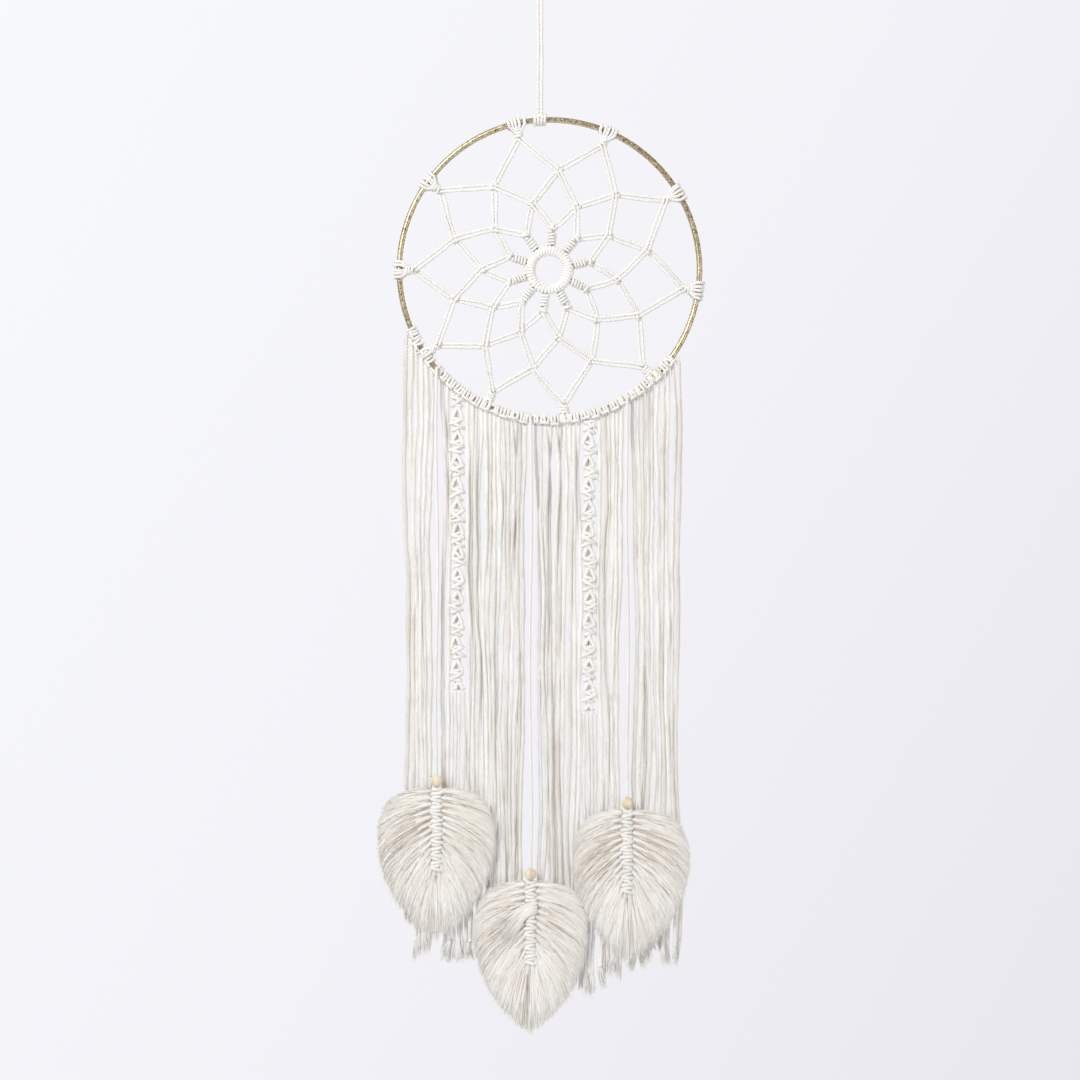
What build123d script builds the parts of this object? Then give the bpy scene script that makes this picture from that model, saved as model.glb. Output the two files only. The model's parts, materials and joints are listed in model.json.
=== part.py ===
from build123d import *

import math
import os

# Macramé dream catcher, hanging from a nail.
# Millimetres. The origin is where the nail bears inside the top of the hanging loop.
# X is to the right, Y is away from the viewer and Z is up.

# Cord and hoop
CORD = 2.2
STRAND = CORD / 2
FRINGE_STRAND = 1.25
HOOP_RADIUS = 98.1
WIRE_RADIUS = 1.9
HITCH_RADIUS = 4.1
HOOP_X = 6.2
HOOP_Z = -223.0
WRAP_GAP = 0.1
BODY_GAP = 0.3

# Hanging loop and knot
LOOP_HALF_WIDTH = 8.8
LOOP_BEND = 6.8
LOOP_FOOT_X = 1.3
KNOT_Z = -34.0
KNOT_RADIUS = 4.0
HANGER_SPREAD = 1.15
HANGER_CORD_END = -120.4
HOOP_HITCH_LENGTH = 8.8

# Web: ten anchors on the hoop, as angles clockwise from the top, and three rounds of knots
ANCHOR_ANGLES = [-13, 23, 59, 98, 136, 174, 205, 236, 270, 306]
ANCHOR_RADIUS = 89.5
ANCHOR_NECK_RADIUS = 3.0
ANCHOR_HITCH_ANGLE = 7.2
NECK_OVERLAP = 1.0
OUTER_ROUND = 65.4
MIDDLE_ROUND = 44.8
INNER_ROUND = 27.2
WEB_KNOT_RADIUS = 3.4
WEB_LAYER = 1.15
SPAN_INTO_KNOT = 0.4
SPAN_FROM_ANCHOR = 1.5
SPOKE_RADIUS = 3.15

# Ring in the middle of the web
CENTRE_RADIUS = 12.4
CENTRE_CORE_RADIUS = 1.2
CENTRE_WRAP_RADIUS = 3.6
CENTRE_WRAP_PARTS = 10
CENTRE_WRAP_GAP_ANGLE = 0.5

# Fringe, as positions to the right of the hoop's centre
FRINGE_LEFT_END = -95.0
FRINGE_RIGHT_END = 85.5
FRINGE_TIP = -453.0
FRINGE_LONGEST_X = 18.0
FRINGE_MIDDLE_DROP = 20.0
FRINGE_MIDDLE_WIDTH = 30.0
FRINGE_UNEVEN = 4.0
FRINGE_FIRST_TIP = -432.0
FRINGE_TOP_RADIUS = HOOP_RADIUS + HITCH_RADIUS + BODY_GAP + FRINGE_STRAND
FRINGE_HITCH_GAP_ANGLE = 0.1
HITCH_PULL_IN = 0.97
LEAF_CORD_ROOM = 2.0

# Sennits: columns of knots with loose tails
SENNIT_HALF_WIDTH = 5.1
SENNIT_ROOM = 5.25
SENNIT_DEPTH = 5.2
SENNIT_FILLER_X = 1.4
SENNIT_KNOT_PITCH = 15.0
SENNIT_KNOT_HEIGHT = 9.0
SENNIT_FIRST_KNOT = 4.5
SENNITS = {"left": (-60.1, -275.8), "right": (26.1, -289.5)}
TAIL_OFFSETS = [-3.9, -1.3, 1.3, 3.9]

# Leaves: bead position from the hoop's centre, and the half widths to the left and right
LEAVES = {
    "left": (-73.5, -333.3, 37.6, 37.2),
    "middle": (-12.4, -394.1, 36.2, 36.2),
    "right": (50.7, -347.7, 34.6, 39.5),
}
LEAF_Y = -5.6
BEAD_RADIUS = 4.0
BEAD_BORE = 1.15
LEAF_TOP = 4.6
LEAF_HEIGHT = 98.0
LEAF_THICKNESS = 3.2
SPINE_WIDTH = 8.6
SPINE_DEPTH = 6.8
SPINE_LENGTH = 54.0
FAN_GAP = 0.1
# one half of a leaf's outline, as shares of the half width and of the height
LEAF_OUTLINE = [(0.19, 0.0), (0.72, 0.055), (0.98, 0.26), (0.98, 0.5), (0.7, 0.75), (0.09, 1.0)]

# Order of the fringe from left to right: number of folded cords before each of the other cords
FRINGE_GROUPS = [
    (3, "leaf", "left"),
    (1, "sennit", "left"),
    (7, "leaf", "middle"),
    (5, "sennit", "right"),
    (3, "leaf", "right"),
    (5, "end", None),
]

os.makedirs("parts", exist_ok=True)
hoop_place = Pos(HOOP_X, 0, HOOP_Z)
hoop_axis = Axis((0, 0, 0), (0, 1, 0))


def save(shape, node):
    """Write one node, with its solids side by side."""
    solids = shape if isinstance(shape, list) else [shape]
    placed = [hoop_place * solid for solid in solids]
    export_step(placed[0] if len(placed) == 1 else Compound(placed), f"parts/{node}.step")


def on_ring(radius, angle, y=0.0):
    """A point at an angle clockwise from the top of the hoop."""
    turn = math.radians(angle)
    return Vector(radius * math.sin(turn), y, radius * math.cos(turn))


def between(angles):
    """The angles half way between neighbours, all the way round."""
    following = angles[1:] + [angles[0] + 360]
    return [(a + b) / 2 for a, b in zip(angles, following)]


def sleeve(ring_radius, bore, outer, start, angle):
    """A stretch of wrapped cord round a ring."""
    section = Plane(origin=(0, 0, ring_radius), x_dir=(0, 1, 0), z_dir=(1, 0, 0))
    wall = section * (Circle(outer) - Circle(bore))
    return Rot(0, start, 0) * revolve(wall, axis=hoop_axis, revolution_arc=angle)


def rod(start, end, radius):
    """A round bar from one point to another."""
    along = end - start
    return extrude(Plane(origin=start, z_dir=along) * Circle(radius), amount=along.length)


def doubled_cord(start, end, trim_start, trim_end):
    """Two cords side by side, pulled straight between two knots."""
    along = (end - start).normalized()
    first = start + along * trim_start
    length = (end - start).length - trim_start - trim_end
    across = Vector(along.Z, 0, -along.X)
    section = Plane(origin=first, x_dir=across, z_dir=along)
    return extrude(section * SlotOverall(2 * CORD, CORD), amount=length)


def strand(x, top, tip, y=0.0, radius=STRAND):
    """A hanging strand with a rounded upper end, on which it swings."""
    return rod(Vector(x, y, top), Vector(x, y, tip), radius) + Pos(x, y, top) * Sphere(radius)


def strand_top(x):
    """Height at which a strand leaves the hitches on the hoop's lower arc."""
    return -math.sqrt(FRINGE_TOP_RADIUS**2 - x**2)


def fringe_tip(x):
    """Height of the fringe's lower end: longer in the middle, and a little uneven."""
    middle = math.exp(-(((x - FRINGE_LONGEST_X) / FRINGE_MIDDLE_WIDTH) ** 2))
    return FRINGE_TIP - FRINGE_MIDDLE_DROP * middle + FRINGE_UNEVEN * math.sin(1.7 * x)


def hitch_angle(x):
    """Angle clockwise from the top at which the cord that hangs at x is tied to the hoop."""
    return 180.0 - math.degrees(math.asin(HITCH_PULL_IN * x / HOOP_RADIUS))


def make_hanger():
    """Hanging loop, its knot, the two cords below it and the hitch on the hoop."""
    foot_z = KNOT_Z + KNOT_RADIUS
    route = [
        Vector(-LOOP_FOOT_X, 0, foot_z),
        Vector(-LOOP_HALF_WIDTH, 0, STRAND),
        Vector(LOOP_HALF_WIDTH, 0, STRAND),
        Vector(LOOP_FOOT_X, 0, foot_z),
    ]
    path = FilletPolyline(*route, radius=LOOP_BEND)
    print("hanging loop arc radii", [LOOP_BEND, LOOP_BEND])
    section = Plane(origin=path @ 0, z_dir=path % 0) * Circle(STRAND)
    loop = sweep(section, path=path)
    print("hanging loop volume over section times length", loop.volume / (section.area * path.length))
    loop -= Pos(0, 0, KNOT_Z) * Sphere(KNOT_RADIUS + BODY_GAP)
    export_step(loop, "parts/hanging_loop.step")
    export_step(Pos(0, 0, KNOT_Z) * Sphere(KNOT_RADIUS), "parts/hanger_knot.step")
    cord_top = KNOT_Z - KNOT_RADIUS - WRAP_GAP
    for side, x in (("left", -HANGER_SPREAD), ("right", HANGER_SPREAD)):
        cord = rod(Vector(x, 0, cord_top), Vector(x, 0, HANGER_CORD_END), STRAND)
        export_step(cord, f"parts/hanger_cord_{side}.step")
    middle = -math.degrees(math.asin(HOOP_X / HOOP_RADIUS))
    reach = math.degrees(HOOP_HITCH_LENGTH / HOOP_RADIUS)
    hitch = sleeve(HOOP_RADIUS, WIRE_RADIUS + BODY_GAP, HITCH_RADIUS, middle - reach / 2, reach)
    save(hitch, "hoop_hitch")


def make_web():
    """The net of doubled cord inside the hoop."""
    outer_angles = between(ANCHOR_ANGLES)
    middle_angles = between(outer_angles)
    inner_angles = between(middle_angles)
    anchors = [on_ring(ANCHOR_RADIUS, a) for a in ANCHOR_ANGLES]
    rounds = {
        "outer": [on_ring(OUTER_ROUND, a) for a in outer_angles],
        "middle": [on_ring(MIDDLE_ROUND, a) for a in middle_angles],
        "inner": [on_ring(INNER_ROUND, a) for a in inner_angles],
    }

    fringe_start, fringe_end = hitch_angle(FRINGE_RIGHT_END), hitch_angle(FRINGE_LEFT_END)
    hitches = []
    for angle in ANCHOR_ANGLES:
        among_fringe = fringe_start - ANCHOR_HITCH_ANGLE < angle < fringe_end + ANCHOR_HITCH_ANGLE
        neck_top = HOOP_RADIUS - HITCH_RADIUS + (-WRAP_GAP if among_fringe else NECK_OVERLAP)
        neck_foot = on_ring(ANCHOR_RADIUS - NECK_OVERLAP, angle)
        hitch = rod(on_ring(neck_top, angle), neck_foot, ANCHOR_NECK_RADIUS)
        if not among_fringe:
            start = angle - ANCHOR_HITCH_ANGLE / 2
            bore = WIRE_RADIUS + WRAP_GAP
            hitch += sleeve(HOOP_RADIUS, bore, HITCH_RADIUS, start, ANCHOR_HITCH_ANGLE)
        hitches.append(hitch)
    save(hitches, "web_anchor_hitches")

    into_knot = WEB_KNOT_RADIUS - SPAN_INTO_KNOT
    upper = anchors
    for name, knots in rounds.items():
        leave = SPAN_FROM_ANCHOR if upper is anchors else into_knot
        spans = []
        for i, knot in enumerate(knots):
            ahead = Vector(0, -WEB_LAYER, 0)
            back = Vector(0, WEB_LAYER, 0)
            left, right = upper[i], upper[(i + 1) % len(upper)]
            spans.append(doubled_cord(left + ahead, knot + ahead, leave, into_knot))
            spans.append(doubled_cord(right + back, knot + back, leave, into_knot))
        save(spans, f"web_{name}_spans")
        save([Pos(*knot) * Sphere(WEB_KNOT_RADIUS) for knot in knots], f"web_{name}_knots")
        upper = knots

    spoke_foot = CENTRE_RADIUS + CENTRE_WRAP_RADIUS + WRAP_GAP
    spoke_top = INNER_ROUND - WEB_KNOT_RADIUS - WRAP_GAP
    spokes = [rod(on_ring(spoke_top, a), on_ring(spoke_foot, a), SPOKE_RADIUS) for a in inner_angles]
    save(spokes, "web_spoke_wraps")


def make_centre_ring():
    """Small ring in the middle of the web, and the cord hitched round it."""
    save(Rot(90, 0, 0) * Torus(CENTRE_RADIUS, CENTRE_CORE_RADIUS), "centre_ring_core")
    part_angle = 360 / CENTRE_WRAP_PARTS
    bore = CENTRE_CORE_RADIUS + WRAP_GAP
    wraps = [
        sleeve(CENTRE_RADIUS, bore, CENTRE_WRAP_RADIUS, i * part_angle, part_angle - CENTRE_WRAP_GAP_ANGLE)
        for i in range(CENTRE_WRAP_PARTS)
    ]
    save(wraps, "centre_ring_wrap")


def make_sennit(side):
    """A column of knots on two filler strands, and its four loose tails."""
    x, foot = SENNITS[side]
    fillers = [x - SENNIT_FILLER_X, x + SENNIT_FILLER_X]
    column = strand(fillers[0], strand_top(fillers[0]), foot)
    column += strand(fillers[1], strand_top(fillers[1]), foot)
    first = min(strand_top(f) for f in fillers) - SENNIT_FIRST_KNOT
    count = int((first - foot) // SENNIT_KNOT_PITCH) + 1
    pitch = (first - foot - SENNIT_KNOT_HEIGHT) / (count - 1)
    section = SlotOverall(2 * SENNIT_HALF_WIDTH, SENNIT_DEPTH)
    for i in range(count):
        top = first - i * pitch
        column += extrude(Pos(x, 0, top - SENNIT_KNOT_HEIGHT) * section, amount=SENNIT_KNOT_HEIGHT)
    save(column, f"sennit_{side}")
    tails = []
    for offset in TAIL_OFFSETS:
        top = Vector(x + offset, 0, foot - WRAP_GAP)
        tails.append(rod(top, Vector(x + offset, 0, fringe_tip(x + offset)), STRAND))
    save(tails, f"sennit_{side}_tails")


def make_leaf(side):
    """A long cord with a wooden bead and a leaf of combed cotton on a knotted spine."""
    x, bead_z, left_width, right_width = LEAVES[side]
    cord_top = -math.sqrt(HOOP_RADIUS**2 - x**2)
    save(strand(x, cord_top, bead_z - BEAD_RADIUS + WRAP_GAP, LEAF_Y), f"leaf_{side}_cord")

    bore = Cylinder(BEAD_BORE, 3 * BEAD_RADIUS)
    save(Pos(x, LEAF_Y, bead_z) * (Sphere(BEAD_RADIUS) - bore), f"leaf_{side}_bead")

    top = bead_z - LEAF_TOP
    section = RectangleRounded(SPINE_WIDTH, SPINE_DEPTH, 0.4 * SPINE_DEPTH)
    spine = extrude(Pos(x, LEAF_Y, top - SPINE_LENGTH) * section, amount=SPINE_LENGTH)
    save(spine, f"leaf_{side}_spine")

    front = Plane(origin=(x, LEAF_Y, top), x_dir=(1, 0, 0), z_dir=(0, -1, 0))
    notch = Rectangle(SPINE_WIDTH + 2 * FAN_GAP, 2 * (SPINE_LENGTH + FAN_GAP))
    for fan, way, width in (("left", -1, left_width), ("right", 1, right_width)):
        edge = [(way * u * width, -v * LEAF_HEIGHT) for u, v in LEAF_OUTLINE]
        inner = way * FAN_GAP
        outline = Spline(*edge)
        outline += Line(edge[-1], (inner, -LEAF_HEIGHT))
        outline += Line((inner, -LEAF_HEIGHT), (inner, 0))
        outline += Line((inner, 0), edge[0])
        face = make_face(outline) - notch
        solid = extrude(front * face, amount=LEAF_THICKNESS / 2, both=True)
        save(solid, f"leaf_{side}_fan_{fan}")


def make_fringe():
    """The folded cords between the sennits and the leaf cords, and all the hitches above them."""
    hitches = []
    number = 0

    def add_hitch(left, right):
        start = hitch_angle(right) + FRINGE_HITCH_GAP_ANGLE
        angle = hitch_angle(left) - FRINGE_HITCH_GAP_ANGLE - start
        hitches.append(sleeve(HOOP_RADIUS, WIRE_RADIUS + WRAP_GAP, HITCH_RADIUS, start, angle))

    left = FRINGE_LEFT_END
    for count, kind, side in FRINGE_GROUPS:
        if kind == "leaf":
            middle, room = LEAVES[side][0], LEAF_CORD_ROOM
        elif kind == "sennit":
            middle, room = SENNITS[side][0], SENNIT_ROOM
        else:
            middle, room = FRINGE_RIGHT_END, 0.0
        pitch = (middle - room - left) / count
        for i in range(count):
            number += 1
            centre = left + (i + 0.5) * pitch
            strands = []
            for x in (centre - pitch / 4, centre + pitch / 4):
                tip = FRINGE_FIRST_TIP if number == 1 else fringe_tip(x)
                strands.append(strand(x, strand_top(x), tip, radius=FRINGE_STRAND))
            save(strands, f"fringe_cord_{number:02d}")
            pivot = min(strand_top(centre - pitch / 4), strand_top(centre + pitch / 4))
            print(f"fringe {number:02d} centre {HOOP_X + centre:.3f} pivot {HOOP_Z + pivot:.3f}")
            add_hitch(left + i * pitch, left + (i + 1) * pitch)
        if room:
            add_hitch(middle - room, middle + room)
        left = middle + room
    save(hitches, "fringe_hitches")


make_hanger()
save(Rot(90, 0, 0) * Torus(HOOP_RADIUS, WIRE_RADIUS), "hoop_ring")
make_web()
make_centre_ring()
for name in SENNITS:
    make_sennit(name)
for name in LEAVES:
    make_leaf(name)
make_fringe()
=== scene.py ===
import json
import math
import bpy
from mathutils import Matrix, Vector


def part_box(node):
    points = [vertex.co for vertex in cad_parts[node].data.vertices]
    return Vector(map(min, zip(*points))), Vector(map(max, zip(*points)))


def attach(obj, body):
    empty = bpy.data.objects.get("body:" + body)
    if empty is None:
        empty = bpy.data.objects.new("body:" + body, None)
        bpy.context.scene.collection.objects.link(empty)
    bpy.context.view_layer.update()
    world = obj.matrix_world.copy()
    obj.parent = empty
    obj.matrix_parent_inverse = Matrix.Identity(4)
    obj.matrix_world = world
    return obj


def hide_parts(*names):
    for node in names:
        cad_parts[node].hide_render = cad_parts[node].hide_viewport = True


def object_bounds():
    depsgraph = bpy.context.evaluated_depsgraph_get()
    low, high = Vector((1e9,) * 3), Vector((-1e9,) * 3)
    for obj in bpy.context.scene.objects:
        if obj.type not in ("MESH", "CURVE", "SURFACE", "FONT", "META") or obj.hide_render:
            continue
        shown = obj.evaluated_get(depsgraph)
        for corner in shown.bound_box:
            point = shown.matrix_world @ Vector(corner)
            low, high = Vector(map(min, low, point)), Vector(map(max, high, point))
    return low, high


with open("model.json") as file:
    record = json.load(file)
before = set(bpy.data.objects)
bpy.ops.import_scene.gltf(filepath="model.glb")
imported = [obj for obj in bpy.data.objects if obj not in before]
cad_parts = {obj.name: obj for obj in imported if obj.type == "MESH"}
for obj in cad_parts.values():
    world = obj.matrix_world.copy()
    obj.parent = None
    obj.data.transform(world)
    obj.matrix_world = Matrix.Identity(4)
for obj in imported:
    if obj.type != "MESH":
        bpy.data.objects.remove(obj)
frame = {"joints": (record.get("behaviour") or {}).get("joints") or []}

import zlib

import bpy
import numpy as np
from mathutils import Vector

cad_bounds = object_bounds()
MM = 0.001

# ---------------- sizes read from the frame
joint_at = {j["name"]: np.array(j["pos_m"]) for j in frame["joints"] if "pos_m" in j}
hoop_low, hoop_high = (np.array(corner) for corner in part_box("hoop_ring"))
HOOP = (hoop_low + hoop_high) / 2
WIRE = (hoop_high[1] - hoop_low[1]) / 2
RING = (hoop_high[0] - hoop_low[0]) / 2 - WIRE
cord_low, cord_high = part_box("hanger_cord_left")
CORD = cord_high.x - cord_low.x
STRAND = CORD / 2
centre_low, centre_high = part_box("centre_ring_core")
CENTRE_CORE = (centre_high.y - centre_low.y) / 2
CENTRE = (centre_high.x - centre_low.x) / 2 - CENTRE_CORE
bead_low, bead_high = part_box("leaf_left_bead")
BEAD = (bead_high.x - bead_low.x) / 2

# the web: angles of its anchors on the hoop, clockwise from the top, and the radii of its rounds
ANCHORS = [-13, 23, 59, 98, 136, 174, 205, 236, 270, 306]
ANCHOR_ROUND = 89.5 * MM
ROUNDS = {"outer": 65.4 * MM, "middle": 44.8 * MM, "inner": 27.2 * MM}
# the stretch of the hoop that carries the fringe, as angles
FRINGE_ARC = (125.5, 247.5)
FRINGE_COUNT = 24
SIDES = {"left": -1, "right": 1}
BACK = np.array([0.0, 1.0, 0.0])
LEAVES = ["left", "middle", "right"]
TURN = 2 * math.pi


# ---------------- helpers
def random_for(name):
    """A generator whose draws depend only on the name."""
    return np.random.default_rng(zlib.crc32(name.encode()))


def unit(v):
    v = np.asarray(v, float)
    return v / (np.linalg.norm(v, axis=-1, keepdims=True) + 1e-12)


class Build:
    """Gathers points and faces, and the tone of each point, into one piece."""

    def __init__(self):
        self.points, self.quads, self.tris, self.tones, self.count = [], [], [], [], 0

    def add(self, points, quads=(), tris=(), tone=0.5):
        points = np.asarray(points, float)
        if len(quads):
            self.quads.append(np.asarray(quads, int) + self.count)
        if len(tris):
            self.tris.append(np.asarray(tris, int) + self.count)
        self.points.append(points)
        self.tones.append(np.broadcast_to(np.asarray(tone, float), (len(points),)))
        self.count += len(points)

    def make(self, name, material):
        """The gathered mesh as an object."""
        quads = np.concatenate(self.quads) if self.quads else np.zeros((0, 4), int)
        tris = np.concatenate(self.tris) if self.tris else np.zeros((0, 3), int)
        mesh = bpy.data.meshes.new(name)
        mesh.vertices.add(self.count)
        mesh.vertices.foreach_set("co", np.concatenate(self.points).astype(np.float32).ravel())
        corners = np.concatenate([quads.ravel(), tris.ravel()]).astype(np.int32)
        mesh.loops.add(len(corners))
        mesh.loops.foreach_set("vertex_index", corners)
        starts = np.append(np.arange(len(quads)) * 4, len(quads) * 4 + np.arange(len(tris)) * 3)
        mesh.polygons.add(len(starts))
        mesh.polygons.foreach_set("loop_start", starts.astype(np.int32))
        mesh.polygons.foreach_set("use_smooth", np.ones(len(starts), bool))
        mesh.update(calc_edges=True)
        tone = mesh.attributes.new("tone", "FLOAT", "POINT")
        tone.data.foreach_set("value", np.concatenate(self.tones).astype(np.float32))
        mesh.materials.append(material)
        obj = bpy.data.objects.new(name, mesh)
        bpy.context.scene.collection.objects.link(obj)
        return obj

    def piece(self, name, slot, body, *nodes):
        """A piece that rides on a body, stands for CAD nodes and has its slot's material."""
        obj = self.make(name, MATERIALS[slot])
        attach(obj, body)
        if nodes:
            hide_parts(*nodes)
        return obj


def frames(path, closed=False):
    """Tangents and two cross directions along a path, turned as little as can be."""
    ahead = np.roll(path, -1, 0) - np.roll(path, 1, 0)
    if not closed:
        ahead[0], ahead[-1] = path[1] - path[0], path[-1] - path[-2]
    tangent = unit(ahead)
    first = np.cross(tangent[0], (0.31, 0.94, 0.12))
    normals = [unit(first)]
    for t in tangent[1:]:
        n = normals[-1] - t * (normals[-1] @ t)
        normals.append(n / math.sqrt(n @ n))
    normals = np.array(normals)
    if closed:
        n = unit(normals[-1] - tangent[0] * (normals[-1] @ tangent[0]))
        side = np.cross(tangent[0], normals[0])
        slip = math.atan2(n @ side, n @ normals[0])
        turn = -slip * np.arange(len(path)) / len(path)
        sides = np.cross(tangent, normals)
        normals = normals * np.cos(turn)[:, None] + sides * np.sin(turn)[:, None]
    return tangent, normals, np.cross(tangent, normals)


def resample(path, step):
    """Points along a path, evenly spaced."""
    path = np.asarray(path, float)
    gone = np.concatenate([[0], np.cumsum(np.linalg.norm(np.diff(path, axis=0), axis=1))])
    count = max(3, int(round(gone[-1] / step)) + 1)
    at = np.linspace(0, gone[-1], count)
    return np.stack([np.interp(at, gone, path[:, k]) for k in range(3)], 1)


def tube_faces(rings, around, closed):
    """Quads between rings of points."""
    last = rings if closed else rings - 1
    i, k = np.meshgrid(np.arange(last), np.arange(around), indexing="ij")
    j, m = (i + 1) % rings, (k + 1) % around
    faces = [i * around + k, i * around + m, j * around + m, j * around + k]
    return np.stack([f.ravel() for f in faces], 1)


def add_tube(build, path, radius, shape, twist, tone=0.5, closed=False, frame_of=None):
    """A tube whose section has the given radii round it, turning by twist along the path."""
    path = np.asarray(path, float)
    tangent, normal, side = frame_of or frames(path, closed)
    around = len(shape)
    radius = np.broadcast_to(np.asarray(radius, float), (len(path),))
    twist = np.broadcast_to(np.asarray(twist, float), (len(path),))
    angle = twist[:, None] + np.arange(around)[None] * TURN / around
    reach = radius[:, None] * np.asarray(shape)[None]
    points = (
        path[:, None]
        + (reach * np.cos(angle))[..., None] * normal[:, None]
        + (reach * np.sin(angle))[..., None] * side[:, None]
    )
    n = len(path)
    points = points.reshape(-1, 3)
    quads = tube_faces(n, around, closed)
    tone = np.repeat(np.broadcast_to(tone, (n,)), around)
    if closed:
        build.add(points, quads, tone=tone)
        return
    first = path[0] - tangent[0] * radius[0] * 0.4
    last = path[-1] + tangent[-1] * radius[-1] * 0.4
    points = np.concatenate([points, [first, last]])
    k = np.arange(around)
    m = (k + 1) % around
    top = np.stack([np.full(around, n * around), m, k], 1)
    base = (n - 1) * around
    bottom = np.stack([np.full(around, n * around + 1), base + k, base + m], 1)
    tone = np.concatenate([tone, tone[[0, -1]]])
    build.add(points, quads, np.concatenate([top, bottom]), tone=tone)


# radii round the section of a three-ply cord, tight and loosened
PLY_SHAPE = np.tile([0.88, 0.975, 1.0, 0.975], 3)
LOOSE_SHAPE = np.tile([0.78, 0.95, 1.0, 0.95], 3)
LAY_LENGTH = 3.1 * CORD


def length_of(path):
    return float(np.linalg.norm(np.diff(path, axis=0), axis=1).sum())


def spread_along(values, count):
    """Values given at even steps along a line, read at count points of it."""
    values = np.atleast_1d(values)
    return np.interp(np.linspace(0, 1, count), np.linspace(0, 1, len(values)), values)


def rope(build, path, radius=STRAND, step=MM, closed=False, tone=0.5, phase=0.0, shape=PLY_SHAPE):
    """Three plies twisted together along a path."""
    if closed:
        path = np.concatenate([path, path[:1]])
    path = resample(path, step)
    if closed:
        path = path[:-1]
    turns = length_of(path) / LAY_LENGTH
    if closed:
        # the plies meet again after any whole number of thirds of a turn
        turns = max(1, round(turns * 3)) / 3
    twist = phase + np.linspace(0, 1, len(path), endpoint=not closed) * turns * TURN
    radius, tone = spread_along(radius, len(path)), spread_along(tone, len(path))
    add_tube(build, path, radius, shape, twist, tone, closed)
    if closed:
        close_twist(build, len(path), len(shape), turns)


def close_twist(build, rings, around, turns):
    """Joins the ends of a closed rope, shifted by the plies that its twist has passed."""
    shift = int(round(turns * around)) % around
    quads = build.quads[-1]
    last = quads[-around:] - (build.count - rings * around)
    k = np.arange(around)
    here, there = (rings - 1) * around, (k + shift) % around
    last[:, 0], last[:, 1] = here + k, here + (k + 1) % around
    last[:, 2], last[:, 3] = (there + 1) % around, there
    quads[-around:] = last + (build.count - rings * around)


def add_fibres(build, paths, widths, tones):
    """Fine fibres that taper, all with the same number of steps."""
    count, steps = paths.shape[:2]
    tangent = unit(np.gradient(paths, axis=1))
    first = unit(np.cross(tangent, (0.13, 1.0, 0.07)))
    second = np.cross(tangent, first)
    reach = np.broadcast_to(widths, (count, steps))[..., None]
    corners = [reach * first, 0.55 * reach * second, -reach * first, -0.55 * reach * second]
    points = np.stack([paths + c for c in corners], 2).reshape(-1, 3)
    quads = tube_faces(steps, 4, False)
    quads = (np.arange(count)[:, None, None] * steps * 4 + quads[None]).reshape(-1, 4)
    tones = np.repeat(np.broadcast_to(tones, (count, steps)).ravel(), 4)
    build.add(points, quads, tone=np.clip(tones, 0, 1))


def add_fuzz(build, path, radius, stray, count, draw, tone):
    """Short loose fibres that stand off a cord."""
    at = draw.integers(2, len(path) - 9, count)
    share = np.linspace(0, 1, 4)
    turn = draw.random(count) * TURN
    reach = radius * 0.9 + np.outer(stray * draw.random(count), share) + 0.1 * MM
    turns = turn[:, None] + np.outer(draw.normal(0, 0.9, count), share)
    steps = (at[:, None] + np.round(share * 7).astype(int)[None]).clip(0, len(path) - 1)
    paths = path[steps] + np.stack([reach * np.cos(turns), reach * np.sin(turns), 0 * reach], -1)
    widths = 0.11 * MM * (1 - 0.6 * share) + 0 * reach
    add_fibres(build, paths, widths, np.clip(tone + draw.normal(0.1, 0.2, count), 0, 1)[:, None])


def ease(share):
    """A share from 0 to 1 that starts and ends gently."""
    return share * share * (3 - 2 * share)


def smooth_noise(draw, count, size, knots):
    """A random line through a few knots, smooth between them."""
    at = np.linspace(0, knots - 1, count)
    low = np.minimum(at.astype(int), knots - 2)
    share = ease(at - low)
    values = draw.normal(0, size, knots)
    return values[low] * (1 - share) + values[low + 1] * share


def ring_axes(angle):
    """The ways outwards and clockwise at an angle in degrees, clockwise from the hoop's top."""
    turn = math.radians(angle)
    s, c = math.sin(turn), math.cos(turn)
    return np.array([s, 0, c]), np.array([c, 0, -s])


def on_ring(radius, angle):
    """A point at a radius and an angle about the hoop's centre."""
    return HOOP + radius * ring_axes(angle)[0]


def add_ring(build, radius, wire, steps, around):
    """A plain round ring about the hoop's centre."""
    turn = np.arange(steps) * TURN / steps
    s, zero, c = np.sin(turn), 0 * turn, np.cos(turn)
    outward, ahead = np.stack([s, zero, c], 1), np.stack([c, zero, -s], 1)
    depth = np.broadcast_to([0.0, 1.0, 0.0], outward.shape)
    path, axes = HOOP + radius * outward, (ahead, outward, depth)
    add_tube(build, path, wire, np.ones(around), 0.0, closed=True, frame_of=axes)


def route(points):
    """The smooth line of a cord's route, read from its NURBS spline."""
    curve = bpy.data.curves.new("route", "CURVE")
    curve.dimensions = "3D"
    curve.resolution_u = 16
    spline = curve.splines.new("NURBS")
    spline.points.add(len(points) - 1)
    for place, p in zip(spline.points, points):
        place.co = (*p, 1)
    spline.order_u = 3
    spline.use_endpoint_u = True
    obj = bpy.data.objects.new("route", curve)
    bpy.context.scene.collection.objects.link(obj)
    mesh = bpy.data.meshes.new_from_object(obj)
    line = np.array([v.co for v in mesh.vertices], float)
    bpy.data.objects.remove(obj)
    bpy.data.curves.remove(curve)
    bpy.data.meshes.remove(mesh)
    return line


# ---------------- materials
CORD_COTTON, LEAF_COTTON, GOLD, WOOD = "cotton_cord", "leaf_cotton", "gold_hoop", "bead_wood"
WHITE = (1, 1, 1)


def new_material(name, roughness):
    material = bpy.data.materials.new(name)
    material.use_nodes = True
    tree = material.node_tree
    shader = tree.nodes["Principled BSDF"]
    shader.inputs["Roughness"].default_value = roughness
    return material, tree, shader


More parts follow.
